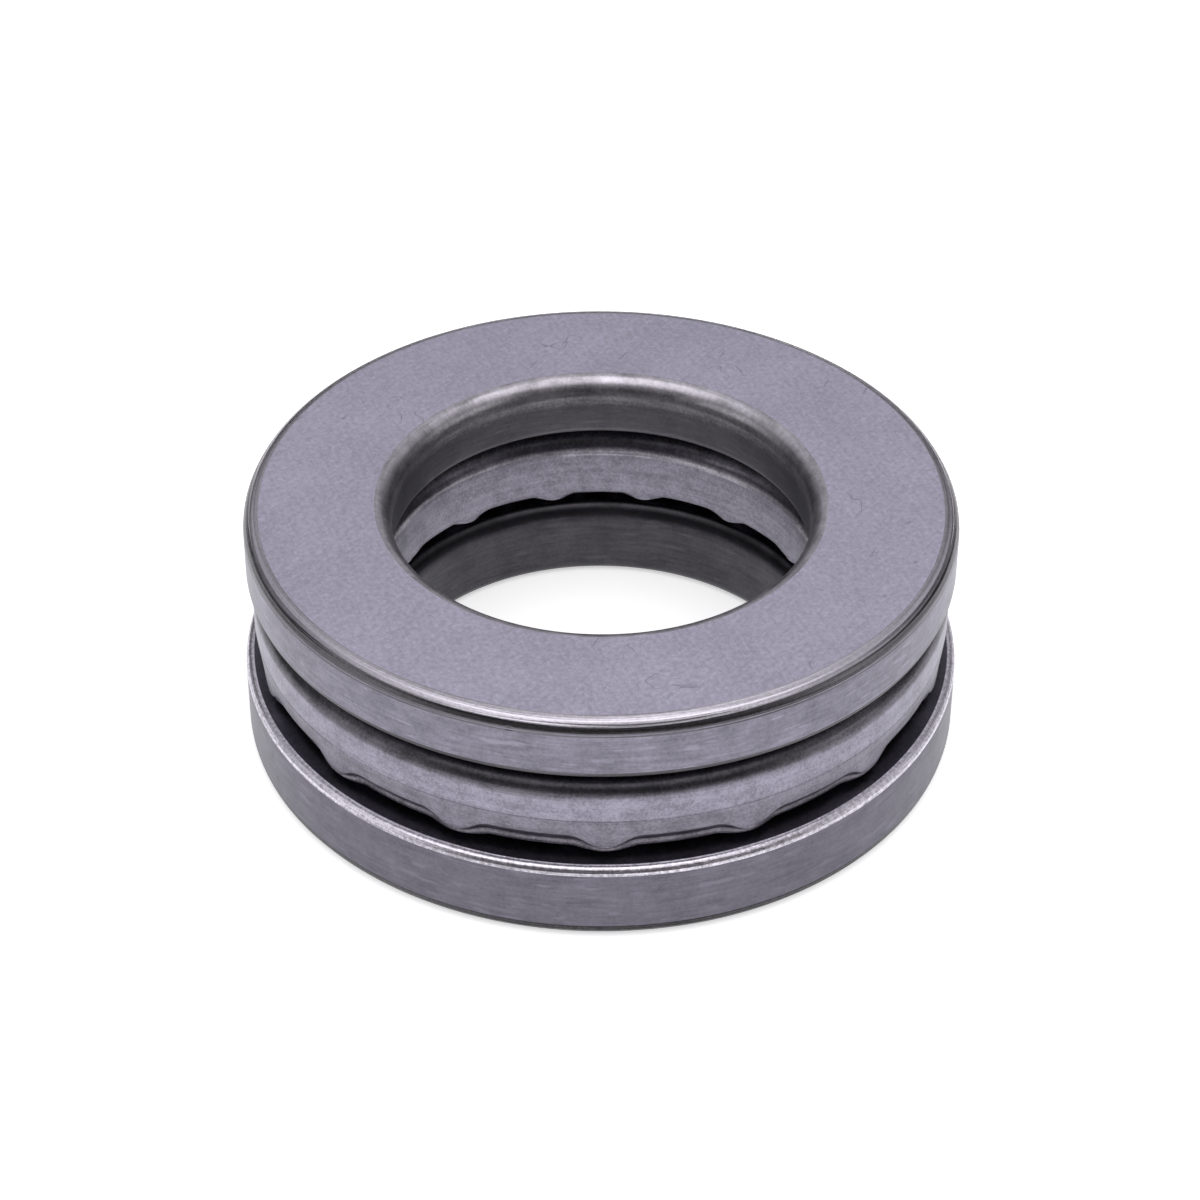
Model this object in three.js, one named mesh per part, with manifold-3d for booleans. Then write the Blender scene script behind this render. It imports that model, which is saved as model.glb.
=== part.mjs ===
// Single-direction thrust ball bearing with its axis upright.
// It lies on the housing washer. A pressed-steel cage carries one ring of balls,
// and the shaft washer turns on top of them. Millimetres, +Z up.
// The origin is on the axis, at the bottom face of the housing washer.

import * as THREE from 'three';
import { mergeVertices } from 'three/addons/utils/BufferGeometryUtils.js';
import Module from 'manifold-3d';

// ---------------------------------------------------------------- driving dimensions

// Washers
const shaftBore = 30;               // bore that seats on the shaft
const housingDiameter = 52;         // outside diameter that seats in the housing
const shaftWasherThickness = 4.75;
const housingWasherThickness = 6.2;
const housingClearance = 0.45;      // the shaft washer stays this far inside the housing's wall
const shaftClearance = 1;           // the housing washer's bore stays this far off the shaft
const outerEdgeFillet = 1.1;        // outside edge of the two outer faces
const boreEdgeFillet = 1;           // bore edge of the two outer faces
const racewayEdgeFillet = 0.6;      // both edges of the raceway faces

// Balls and raceways
const ballCount = 15;
const ballSpacing = 0.566;          // free gap between neighbouring balls
const pitchOffset = 0.1;            // pitch circle outward of the middle of the ring's section
const grooveDepth = 0.275;
const grooveRelief = 0.3;           // groove radius minus ball radius
const runningClearance = 0.05;      // ball to raceway, above and below

// Cage: one annular sheet, folded down inside and outside the balls
const sheetThickness = 0.55;
const pocketClearance = 0.05;       // ball to each flange
const cageTopGap = 0.75;            // cage to the shaft washer's raceway face
const cageBottomGap = 0.65;         // cage to the housing washer's raceway face
const outerShoulderRadius = 1.4;
const innerShoulderRadius = 1.9;
const windowClearance = 0.2;        // ball to the window that it looks through
const taperDepth = 0.2;             // the lower half of each flange leans this far towards the balls
const crimpDrop = 1.575;            // top of the crimp, under the balls' centres
const crimpLand = 0.6;              // height of the strip at full crimp, along the flange's edge
const crimpDepth = 0.75;            // between the balls
const tabDepth = 0.3;               // at each ball, where the flange is left nearly straight

// Roundness of the faceted solids
const ringSegments = 60;
const cageStepsPerBall = 5;
const arcSteps = 2;                 // half the number of chords in each arc
const windowSegments = 20;
const ballSegments = 16;
const ballRings = 8;

// ---------------------------------------------------------------- worked-out dimensions

const boreRadius = shaftBore / 2;
const housingRadius = housingDiameter / 2;
const shaftWasherRadius = housingRadius - housingClearance;
const housingBoreRadius = boreRadius + shaftClearance;

const pitchRadius = (boreRadius + housingRadius) / 2 + pitchOffset;
const ballPitchAngle = 2 * Math.PI / ballCount;
const ballRadius = pitchRadius * Math.sin(ballPitchAngle / 2) - ballSpacing / 2;
const grooveRadius = ballRadius + grooveRelief;

const lowerRaceway = housingWasherThickness;
const ballCentre = lowerRaceway - grooveDepth + runningClearance + ballRadius;
const upperRaceway = ballCentre + ballRadius + runningClearance - grooveDepth;
const bearingHeight = upperRaceway + shaftWasherThickness;

const cageTop = upperRaceway - cageTopGap;
const cageEdge = lowerRaceway + cageBottomGap;
const cageOuterRadius = pitchRadius + ballRadius + pocketClearance + sheetThickness;
const cageInnerRadius = pitchRadius - ballRadius - pocketClearance - sheetThickness;
const webUnderside = cageTop - sheetThickness;
const foldTop = ballCentre - crimpDrop;
const foldBottom = cageEdge + crimpLand;
const flangeTop = cageTop - Math.max(outerShoulderRadius, innerShoulderRadius);
const taperTop = (foldTop + flangeTop) / 2;
const windowRadius = Math.sqrt(ballRadius ** 2 - (webUnderside - ballCentre) ** 2) + windowClearance;

// Azimuth of the first ball: -Y, the front
const firstBallAngle = -Math.PI / 2;

// ---------------------------------------------------------------- helpers

const wasm = await Module();
wasm.setup();

function steel(color, roughness) {
  return new THREE.MeshStandardMaterial({ color, roughness, metalness: 1 });
}

function namedMesh(name, geometry, material) {
  const mesh = new THREE.Mesh(geometry, material);
  mesh.name = name;
  return mesh;
}

// Turns a closed outline of (radius, height) about the Z axis, from the front round.
function revolve(points, segments) {
  const geometry = new THREE.LatheGeometry(points, segments);
  geometry.rotateX(Math.PI / 2);
  return geometry;
}

function toSolid(geometry) {
  const bare = geometry.clone();
  bare.deleteAttribute('normal');
  bare.deleteAttribute('uv');
  const merged = mergeVertices(bare, 1e-4);
  return new wasm.Manifold(new wasm.Mesh({
    numProp: 3,
    vertProperties: new Float32Array(merged.attributes.position.array),
    triVerts: new Uint32Array(merged.index.array),
  }));
}

function toGeometry(solid) {
  const mesh = solid.getMesh();
  const geometry = new THREE.BufferGeometry();
  geometry.setAttribute('position', new THREE.BufferAttribute(mesh.vertProperties, 3));
  geometry.setIndex(new THREE.BufferAttribute(mesh.triVerts, 1));
  geometry.computeVertexNormals();
  return geometry;
}

// ---------------------------------------------------------------- washers

// Outline of a washer, counter-clockwise from the inner end of its bottom face.
// racewayUp says which face has the ball groove.
function washerOutline(inner, outer, bottom, top, racewayUp) {
  const grooveAngle = Math.acos((grooveRadius - grooveDepth) / grooveRadius);
  const lowOuter = racewayUp ? outerEdgeFillet : racewayEdgeFillet;
  const lowInner = racewayUp ? boreEdgeFillet : racewayEdgeFillet;
  const highOuter = racewayUp ? racewayEdgeFillet : outerEdgeFillet;
  const highInner = racewayUp ? racewayEdgeFillet : boreEdgeFillet;
  const quarter = Math.PI / 2;

  const path = new THREE.Path();
  path.moveTo(inner + lowInner, bottom);
  path.lineTo(pitchRadius - grooveRadius * Math.sin(grooveAngle), bottom);
  if (!racewayUp) {
    const centre = bottom + grooveDepth - grooveRadius;
    path.absarc(pitchRadius, centre, grooveRadius, quarter + grooveAngle, quarter - grooveAngle, true);
  }
  path.absarc(outer - lowOuter, bottom + lowOuter, lowOuter, -quarter, 0, false);
  path.absarc(outer - highOuter, top - highOuter, highOuter, 0, quarter, false);
  if (racewayUp) {
    const centre = top - grooveDepth + grooveRadius;
    path.absarc(pitchRadius, centre, grooveRadius, grooveAngle - quarter, -grooveAngle - quarter, true);
  }
  path.absarc(inner + highInner, top - highInner, highInner, quarter, 2 * quarter, false);
  path.absarc(inner + lowInner, bottom + lowInner, lowInner, 2 * quarter, 3 * quarter, false);
  return path.getPoints(arcSteps);
}

function housingWasher() {
  const outline = washerOutline(housingBoreRadius, housingRadius, 0, housingWasherThickness, true);
  return namedMesh('housing_washer', revolve(outline, ringSegments), steel(0x8f8c96, 0.38));
}

function shaftWasher() {
  const outline = washerOutline(boreRadius, shaftWasherRadius, upperRaceway, bearingHeight, false);
  return namedMesh('shaft_washer', revolve(outline, ringSegments), steel(0xa09daa, 0.35));
}

// ---------------------------------------------------------------- cage

// Outline of the folded sheet, before its flanges are tapered and crimped.
// It goes up the outside, over the web, down the inside and back through the channel.
function cageOutline() {
  const quarter = Math.PI / 2;
  const outerBend = outerShoulderRadius - sheetThickness;
  const innerBend = innerShoulderRadius - sheetThickness;
  const outside = cageOuterRadius;
  const inside = cageInnerRadius;

  const path = new THREE.Path();
  path.moveTo(outside, cageEdge);
  path.lineTo(outside, foldBottom);
  path.lineTo(outside, foldTop);
  path.lineTo(outside, taperTop);
  path.absarc(outside - outerShoulderRadius, cageTop - outerShoulderRadius, outerShoulderRadius, 0, quarter, false);
  path.absarc(inside + innerShoulderRadius, cageTop - innerShoulderRadius, innerShoulderRadius,
    quarter, 2 * quarter, false);
  path.lineTo(inside, taperTop);
  path.lineTo(inside, foldTop);
  path.lineTo(inside, foldBottom);
  path.lineTo(inside, cageEdge);
  path.lineTo(inside + sheetThickness, cageEdge);
  path.lineTo(inside + sheetThickness, foldBottom);
  path.lineTo(inside + sheetThickness, foldTop);
  path.lineTo(inside + sheetThickness, taperTop);
  path.absarc(inside + innerShoulderRadius, cageTop - innerShoulderRadius, innerBend, 2 * quarter, quarter, true);
  path.absarc(outside - outerShoulderRadius, cageTop - outerShoulderRadius, outerBend, quarter, 0, true);
  path.lineTo(outside - sheetThickness, taperTop);
  path.lineTo(outside - sheetThickness, foldTop);
  path.lineTo(outside - sheetThickness, foldBottom);
  path.lineTo(outside - sheetThickness, cageEdge);
  path.lineTo(outside, cageEdge);
  return path.getPoints(arcSteps);
}

// How far a flange leans towards the balls, at a height and at a step of the pattern.
function flangeLean(height, step) {
  const taper = THREE.MathUtils.clamp((taperTop - height) / (taperTop - foldTop), 0, 1);
  const fold = THREE.MathUtils.clamp((foldTop - height) / (foldTop - foldBottom), 0, 1);
  const atBall = step % cageStepsPerBall === 0;
  return taperDepth * taper + (atBall ? tabDepth : crimpDepth) * fold;
}

function cage() {
  const steps = ballCount * cageStepsPerBall;
  const geometry = revolve(cageOutline(), steps);
  const position = geometry.attributes.position;
  const point = new THREE.Vector3();
  for (let i = 0; i < position.count; i += 1) {
    point.fromBufferAttribute(position, i);
    const radius = Math.hypot(point.x, point.y);
    const turn = Math.atan2(point.y, point.x) - firstBallAngle;
    const step = Math.round(turn / (2 * Math.PI) * steps + steps) % steps;
    const lean = flangeLean(point.z, step);
    const leaning = radius > pitchRadius ? radius - lean : radius + lean;
    position.setXYZ(i, point.x * leaning / radius, point.y * leaning / radius, point.z);
  }

  let solid = toSolid(geometry);
  for (let i = 0; i < ballCount; i += 1) {
    const angle = firstBallAngle + i * ballPitchAngle;
    const punch = new THREE.CylinderGeometry(windowRadius, windowRadius, 4 * sheetThickness, windowSegments);
    punch.rotateX(Math.PI / 2);
    punch.rotateZ(angle);
    punch.translate(pitchRadius * Math.cos(angle), pitchRadius * Math.sin(angle), cageTop);
    solid = solid.subtract(toSolid(punch));
  }
  return namedMesh('cage', toGeometry(solid), steel(0x96939f, 0.42));
}

// ---------------------------------------------------------------- balls

// Each ball's poles lie on its spin axis, which points away from the bearing's axis.
function ball(index) {
  const geometry = new THREE.SphereGeometry(ballRadius, ballSegments, ballRings);
  geometry.rotateZ(-Math.PI / 2);
  const name = `ball_${String(index + 1).padStart(2, '0')}`;
  const mesh = namedMesh(name, geometry, steel(0xc9c9cf, 0.08));
  const angle = firstBallAngle + index * ballPitchAngle;
  mesh.position.set(pitchRadius * Math.cos(angle), pitchRadius * Math.sin(angle), ballCentre);
  mesh.rotation.z = angle;
  return mesh;
}

// ---------------------------------------------------------------- assembly

const bearing = new THREE.Group();
bearing.add(housingWasher());

const rollingSet = new THREE.Group();
rollingSet.add(cage());
for (let i = 0; i < ballCount; i += 1) {
  rollingSet.add(ball(i));
}
bearing.add(rollingSet);
bearing.add(shaftWasher());

export default bearing;
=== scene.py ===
# %% [markdown]
# # A thrust ball bearing in steel
# A thrust bearing carries a load along its axis. It is a sandwich: a washer that sits in
# the housing, a ring of hardened balls held apart by a pressed cage, and a washer that
# turns with the shaft. The measured model comes first, as a fixed frame. Every piece that
# is made below is built around it, in the same place and to the same size.

# %% Load the frame
import math
import random

import bmesh
import bpy
from mathutils import Matrix, Vector


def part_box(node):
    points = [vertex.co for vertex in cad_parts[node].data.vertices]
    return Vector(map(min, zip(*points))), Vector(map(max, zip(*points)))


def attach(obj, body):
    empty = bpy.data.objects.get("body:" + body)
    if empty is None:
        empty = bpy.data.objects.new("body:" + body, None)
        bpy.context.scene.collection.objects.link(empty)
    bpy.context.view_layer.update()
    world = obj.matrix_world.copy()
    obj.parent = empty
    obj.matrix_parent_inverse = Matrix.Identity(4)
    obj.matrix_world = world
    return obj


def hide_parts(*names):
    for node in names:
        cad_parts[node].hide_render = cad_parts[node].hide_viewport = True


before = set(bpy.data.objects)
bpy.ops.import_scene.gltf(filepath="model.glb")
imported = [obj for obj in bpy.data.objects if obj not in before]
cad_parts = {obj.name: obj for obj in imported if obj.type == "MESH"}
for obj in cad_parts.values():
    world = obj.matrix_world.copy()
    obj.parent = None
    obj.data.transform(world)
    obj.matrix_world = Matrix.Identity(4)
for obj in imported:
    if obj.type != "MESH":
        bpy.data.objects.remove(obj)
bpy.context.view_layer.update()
print("nodes in the frame:", len(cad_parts))

# %% [markdown]
# ## Sizes from the frame
# A bearing is dimensioned by its rings, so the boxes of the frame's nodes give every main
# size: a ring's outside radius is half the width of its box, and a ball's box gives its
# radius and its centre. The pieces are modelled in millimetres, because fillets of a
# millimetre are easier to read than thousandths of a metre, and scaled once at the end.

# %% Read the main sizes
METRES_TO_MM = 1000.0


def box_mm(node):
    """Lowest and highest corner of a node of the frame, in millimetres."""
    low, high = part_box(node)
    return low * METRES_TO_MM, high * METRES_TO_MM


BALL_NAMES = sorted(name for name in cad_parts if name.startswith("ball_"))
housing_low, housing_high = box_mm("housing_washer")
shaft_low, shaft_high = box_mm("shaft_washer")
cage_low, cage_high = box_mm("cage")
first_low, first_high = box_mm(BALL_NAMES[0])

HOUSING_RADIUS = housing_high.x
SHAFT_WASHER_RADIUS = shaft_high.x
CAGE_RADIUS = -cage_low.y
BALL_RADIUS = (first_high.z - first_low.z) / 2
BALL_CENTRE = (first_high.z + first_low.z) / 2
PITCH_RADIUS = -(first_low.y + first_high.y) / 2
BALL_STEP = 2 * math.pi / len(BALL_NAMES)
LOWER_RACEWAY = housing_high.z
UPPER_RACEWAY = shaft_low.z
BEARING_TOP = shaft_high.z
print(f"outside {2 * HOUSING_RADIUS:.2f} mm, height {BEARING_TOP:.2f} mm")
print(f"{len(BALL_NAMES)} balls of {2 * BALL_RADIUS:.2f} mm on a {2 * PITCH_RADIUS:.2f} mm circle")

# %% Sizes that the boxes don't give, in millimetres
# A fillet is (width across the face, length along the axis).
SHAFT_BORE_RADIUS = 15.0
HOUSING_BORE_RADIUS = 16.0
CAGE_BORE_RADIUS = 16.0
OUTER_FILLET = (1.1, 1.1)
RACEWAY_FILLET = (0.6, 0.6)
BORE_FILLET = (1.0, 1.0)
SHAFT_LEAD_IN = (1.2, 1.45)
HOUSING_LEAD_IN = (0.9, 1.8)
GROOVE_RELIEF = 0.3
GROOVE_RADIUS = BALL_RADIUS + GROOVE_RELIEF
GROOVE_DEPTH = 0.275
GROOVE_LIP = 0.08
RING_STEPS = 360
print(f"groove of {GROOVE_RADIUS:.2f} mm radius, {GROOVE_DEPTH} mm deep")

# %% [markdown]
# ## The view
# The bearing is small, so it is looked at through a long lens from about a quarter of a
# metre, from above and in front. The camera is set first, because fine detail is only worth
# having where it can be seen. Its place is worked out from a distance, an elevation and an
# azimuth about a point on the axis.

# %% Camera
VIEW_AZIMUTH = math.radians(-90.8)
VIEW_ELEVATION = math.radians(37.3)
VIEW_ROLL = math.radians(0.24)
VIEW_DISTANCE = 0.247
VIEW_TARGET = Vector((-0.000065, 0.0, 0.00933))
LENS_MM = 101.5
SENSOR_MM = 36.0
NEAREST_SEEN = 0.01


def towards(azimuth, elevation):
    """A unit vector that points at an azimuth and an elevation."""
    flat = math.cos(elevation)
    return Vector((flat * math.cos(azimuth), flat * math.sin(azimuth), math.sin(elevation)))


def looking_at(place, target, roll=0.0):
    """The matrix of a camera or a lamp at a place, turned to face a target."""
    turn = (target - place).to_track_quat("-Z", "Y").to_matrix().to_4x4()
    return Matrix.Translation(place) @ turn @ Matrix.Rotation(roll, 4, "Z")


camera_data = bpy.data.cameras.new("camera")
camera_data.lens = LENS_MM
camera_data.sensor_width = SENSOR_MM
camera_data.clip_start = NEAREST_SEEN
camera = bpy.data.objects.new("camera", camera_data)
bpy.context.scene.collection.objects.link(camera)
camera_place = VIEW_TARGET + VIEW_DISTANCE * towards(VIEW_AZIMUTH, VIEW_ELEVATION)
camera.matrix_world = looking_at(camera_place, VIEW_TARGET, VIEW_ROLL)
bpy.context.scene.camera = camera
print("camera at", [round(value, 3) for value in camera_place])

# %% [markdown]
# ## The stage
# Product shots of steel are lit with big, soft, pale surfaces, because polished metal shows
# whatever is around it. A pale floor stands for the table, the world is an even pale
# surround, one wide softbox hangs over the front, and a narrow one stands at each side to
# draw bright lines along the rounded edges.

# %% Softboxes and surround
SURROUND_COLOUR = (0.96, 0.96, 1.0, 1)
SURROUND_STRENGTH = 0.6
LAMPS = {
    "top_softbox": dict(place=(0.0, -0.13, 0.75), size=(0.9, 0.7), radiance=1.5),
    "left_softbox": dict(place=(-0.40, -0.12, 0.11), size=(0.22, 0.10), radiance=2.2),
    "right_softbox": dict(place=(0.40, -0.12, 0.11), size=(0.22, 0.10), radiance=2.2),
}


def add_softbox(name, place, size, radiance):
    """A rectangular area lamp of an even radiance, facing the middle of the bearing."""
    lamp = bpy.data.lights.new(name, "AREA")
    lamp.shape = "RECTANGLE"
    lamp.size, lamp.size_y = size
    lamp.energy = radiance * math.pi * size[0] * size[1]
    softbox = bpy.data.objects.new(name, lamp)
    bpy.context.scene.collection.objects.link(softbox)
    softbox.matrix_world = looking_at(Vector(place), VIEW_TARGET)
    return lamp.energy


for lamp_name, lamp_facts in LAMPS.items():
    print(lamp_name, f"{add_softbox(lamp_name, **lamp_facts):.2f} W")

surround = bpy.data.worlds.new("surround")
surround.use_nodes = True
background = surround.node_tree.nodes["Background"]
background.inputs["Color"].default_value = SURROUND_COLOUR
background.inputs["Strength"].default_value = SURROUND_STRENGTH
bpy.context.scene.world = surround
bpy.context.scene.view_settings.view_transform = "Standard"

# %% Floor
FLOOR_SIZE = 4.0
FLOOR_COLOUR = (0.90, 0.90, 0.90, 1)
FLOOR_GLOW = 0.54


def matt_paint(name, colour):
    """A paint with no gloss at all, and the shader that makes it."""
    paint = bpy.data.materials.new(name)
    paint.use_nodes = True
    shader = paint.node_tree.nodes["Principled BSDF"]
    shader.inputs["Base Color"].default_value = colour
    shader.inputs["Roughness"].default_value = 1.0
    shader.inputs["Specular IOR Level"].default_value = 0.0
    return paint, shader


def stage_object(bm, name, paint):
    """Makes a painted object of a bmesh and links it to the scene."""
    mesh = bpy.data.meshes.new(name)
    bm.to_mesh(mesh)
    bm.free()
    mesh.materials.append(paint)
    staged = bpy.data.objects.new(name, mesh)
    bpy.context.scene.collection.objects.link(staged)
    return staged


floor_bm = bmesh.new()
bmesh.ops.create_grid(floor_bm, x_segments=2, y_segments=2, size=FLOOR_SIZE / 2)
floor_paint, floor_shader = matt_paint("pale_floor", FLOOR_COLOUR)
floor_shader.inputs["Emission Color"].default_value = (1, 1, 1, 1)
floor_shader.inputs["Emission Strength"].default_value = FLOOR_GLOW
stage_object(floor_bm, "floor", floor_paint)
print("floor", FLOOR_SIZE, "m across")

# %% [markdown]
# ## Black cards
# Steel with nothing dark around it looks like grey plastic. A studio stands black cards
# round it, just out of the picture, so that every rounded edge shows a dark band between
# the pale table and the softboxes. One low ring of card does that here. It stands higher
# in front, and the camera doesn't see it, only the steel does.

# %% Ring of black card
CARD_RADIUS = 0.5
CARD_STEPS = 96
CARD_BACK_HEIGHT = 0.20
CARD_FRONT_HEIGHT = 0.42
CARD_COLOUR = (0.012, 0.012, 0.014, 1)
card_bm = bmesh.new()
bmesh.ops.create_circle(card_bm, segments=CARD_STEPS, radius=CARD_RADIUS)
raised = bmesh.ops.extrude_edge_only(card_bm, edges=card_bm.edges[:])["geom"]
for vertex in [item for item in raised if isinstance(item, bmesh.types.BMVert)]:
    frontness = 0.5 - vertex.co.y / (2 * CARD_RADIUS)
    vertex.co.z = CARD_BACK_HEIGHT + frontness * (CARD_FRONT_HEIGHT - CARD_BACK_HEIGHT)
card_paint, _ = matt_paint("black_card", CARD_COLOUR)
card = stage_object(card_bm, "black_card", card_paint)
card.visible_camera = False
card.visible_shadow = False
card.visible_diffuse = False
print("card stands", CARD_FRONT_HEIGHT, "m high in front and", CARD_BACK_HEIGHT, "m behind")

# %% [markdown]
# ## A language for steel finishes
# All the parts are bearing steel, and what tells them apart is how they were machined.
# Grinding leaves fine straight scratches, turning leaves rings, tumbling leaves a satin
# grain and lapping leaves almost nothing. Each of those is a noise that is stretched in
# its own direction. One helper adds a node and fills its inputs, so that a finish reads as
# a short list. The marks come from the piece's own coordinates, so they turn with it.

# %% Node helpers
def add_node(tree, kind, inputs=None, **settings):
    """Adds a node, sets its properties, and fills or links its inputs."""
    node = tree.nodes.new(kind)
    for name, value in settings.items():
        setattr(node, name, value)
    for name, value in (inputs or {}).items():
        if isinstance(value, bpy.types.NodeSocket):
            tree.links.new(value, node.inputs[name])
        else:
            node.inputs[name].default_value = value
    return node


def maths(tree, operation, first, second=0.0, third=0.0):
    """One arithmetic step on values or sockets."""
    inputs = {0: first, 1: second, 2: third}
    return add_node(tree, "ShaderNodeMath", inputs, operation=operation).outputs[0]


def band(tree, value, low, high, out_low=0.0, out_high=1.0):
    """A value stretched from one band to another, and held inside it."""
    inputs = {"Value": value, "From Min": low, "From Max": high}
    inputs.update({"To Min": out_low, "To Max": out_high})
    return add_node(tree, "ShaderNodeMapRange", inputs).outputs[0]


def own_coordinates(tree):
    """The piece's own coordinates, in metres from the axis and the bottom face."""
    return add_node(tree, "ShaderNodeTexCoord").outputs["Object"]


def radius_and_height(tree, point):
    """The distance from the axis and the height of a point."""
    parts = add_node(tree, "ShaderNodeSeparateXYZ", {0: point})
    across = maths(tree, "POWER", parts.outputs[0], 2.0)
    along = maths(tree, "POWER", parts.outputs[1], 2.0)
    return maths(tree, "SQRT", maths(tree, "ADD", across, along)), parts.outputs[2]


print("helpers for nodes, sums and bands are ready")

# %% [markdown]
# ## Marks in the steel
# A ring or a scratch is long one way and fine the other way, so the coordinates are
# multiplied by a large number across it and a small one along it before the noise is read.
# Pits and hairlines are rare, so one noise draws them and a second one chooses where they
# are.

# %% Noise, rings and scratches
def noise(tree, point, scale, detail=3.0, roughness=0.55):
    """Plain cloudy noise, about one over the scale across, in metres."""
    inputs = {"Vector": point, "Scale": scale, "Detail": detail, "Roughness": roughness}
    return add_node(tree, "ShaderNodeTexNoise", inputs).outputs[0]


def turning_marks(tree, point, fineness, drift=60.0, detail=2.0):
    """Rings round the axis, as a lathe tool leaves, a little uneven along their length."""
    radius, height = radius_and_height(tree, point)
    parts = add_node(tree, "ShaderNodeSeparateXYZ", {0: point})
    across = maths(tree, "SUBTRACT", radius, height)
    rings = add_node(tree, "ShaderNodeCombineXYZ", {
        0: maths(tree, "MULTIPLY", parts.outputs[0], drift),
        1: maths(tree, "MULTIPLY", parts.outputs[1], drift),
        2: maths(tree, "MULTIPLY", across, fineness),
    }).outputs[0]
    return noise(tree, rings, 1.0, detail)


def grinding_marks(tree, point, angle, length, fineness, detail=2.0):
    """Straight scratches across a face, at an angle, as a surface grinder leaves."""
    inputs = {"Vector": point, "Rotation": (0, 0, math.radians(-angle))}
    turned = add_node(tree, "ShaderNodeMapping", inputs).outputs[0]
    inputs = {0: turned, 1: (length, fineness, length)}
    drawn_out = add_node(tree, "ShaderNodeVectorMath", inputs, operation="MULTIPLY").outputs[0]
    return noise(tree, drawn_out, 1.0, detail)


print("a scale of 1000 gives noise about", METRES_TO_MM / 1000.0, "mm across")

# %% Hairlines, pits and uneven heights
HAIR_SCALE, HAIR_PLACES = 330.0, 150.0
HAIR_WIDTH = (0.005, 0.002)
HAIR_SHARE = (0.645, 0.665)
PIT_FLOOR = 0.4


def hairs(tree, point):
    """A few short, curled hairlines: 1 on the line, 0 beside it."""
    wander = maths(tree, "SUBTRACT", noise(tree, point, HAIR_SCALE, detail=1.0), 0.5)
    line = band(tree, maths(tree, "ABSOLUTE", wander), *HAIR_WIDTH)
    here = band(tree, noise(tree, point, HAIR_PLACES, detail=1.0), *HAIR_SHARE)
    return maths(tree, "MULTIPLY", line, here)


def sunk(tree, marks):
    """The same marks as a height that goes down instead of up."""
    return maths(tree, "MULTIPLY", marks, -1.0)


def ragged(tree, height, wander, reach):
    """A height that a noise moves up and down by half its reach, in metres."""
    return maths(tree, "MULTIPLY_ADD", maths(tree, "SUBTRACT", wander, 0.5), reach, height)


def pits(tree, point, scale, size, share):
    """Scattered pits: 1 in the pit, 0 outside. Share is how many cells have one."""
    inputs = {"Vector": point, "Scale": scale}
    cells = add_node(tree, "ShaderNodeTexVoronoi", inputs)
    chosen = add_node(tree, "ShaderNodeSeparateColor", {0: cells.outputs["Color"]}).outputs[0]
    near = band(tree, cells.outputs["Distance"], size, size * PIT_FLOOR)
    return maths(tree, "MULTIPLY", near, maths(tree, "LESS_THAN", chosen, share))


print(f"a pit is full depth over the inner {PIT_FLOOR:.0%} of its width")

# %% [markdown]
# ## The colour of steel
# Bare steel is a slightly cool grey. Heat and oil turn it a little warm. A coat covers part
# of a piece: a film, a polish, painted shade or a painted highlight. It hides the colour
# below, and the same marks show in it as thin and thick places.

# %% Colours, coats and bumps
STEEL_TINT = (0.862, 0.816, 1.0)
WARM_TINT = (0.975, 0.925, 0.985)
COAT_WARMTH = 0.8
COAT_THICK = 0.6
COAT_THIN = 1.45
# A Mix node has sockets for every kind of data. These are the ones for colours.
COLOUR_SOCKETS = (6, 7)
MIXED_COLOUR = 2


def mix_colours(tree, factor, first, second):
    """Goes from the first colour to the second as the factor goes from 0 to 1."""
    mix = add_node(tree, "ShaderNodeMix", {"Factor": factor}, data_type="RGBA")
    for number, colour in zip(COLOUR_SOCKETS, (first, second)):
        if isinstance(colour, bpy.types.NodeSocket):
            tree.links.new(colour, mix.inputs[number])
        else:
            mix.inputs[number].default_value = colour
    return mix.outputs[MIXED_COLOUR]


def steel_grey(grey, warmth=0.0):
    """The colour of bare steel of a grey, from its cool tint towards a warm one."""
    tint = Vector(STEEL_TINT).lerp(Vector(WARM_TINT), warmth)
    return [grey * part for part in tint] + [1]


def steel(name, grey, roughness):
    """A bare steel material: its tree, its shader and its own coordinates."""
    material = bpy.data.materials.new(name)
    material.use_nodes = True
    tree = material.node_tree
    shader = tree.nodes["Principled BSDF"]
    shader.inputs["Base Color"].default_value = steel_grey(grey)
    shader.inputs["Metallic"].default_value = 1.0
    shader.inputs["Roughness"].default_value = roughness
    return material, tree, shader, own_coordinates(tree)


def paint_grey(tree, shader, level, dark, light, warmth=0.0, coats=()):
    """Colours the steel from dark to light as level goes from 0 to 1. Each coat over it is
    a pair: how much of it there is, and its grey."""
    colour = mix_colours(tree, level, steel_grey(dark, warmth), steel_grey(light, warmth))
    for amount, grey in coats:
        thick = steel_grey(grey * COAT_THICK, COAT_WARMTH)
        thin = steel_grey(grey * COAT_THIN, COAT_WARMTH)
        colour = mix_colours(tree, amount, colour, mix_colours(tree, level, thick, thin))
    tree.links.new(colour, shader.inputs["Base Color"])


def raise_marks(tree, shader, heights):
    """Chains bumps: each is (height socket, depth in metres, strength)."""
    normal = None
    for height, depth, strength in heights:
        inputs = {"Height": height, "Distance": depth, "Strength": strength}
        if normal is not None:
            inputs["Normal"] = normal
        normal = add_node(tree, "ShaderNodeBump", inputs).outputs[0]
    tree.links.new(normal, shader.inputs["Normal"])


print("bare steel of a grey of 0.5:", [round(part, 3) for part in steel_grey(0.5)])
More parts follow.
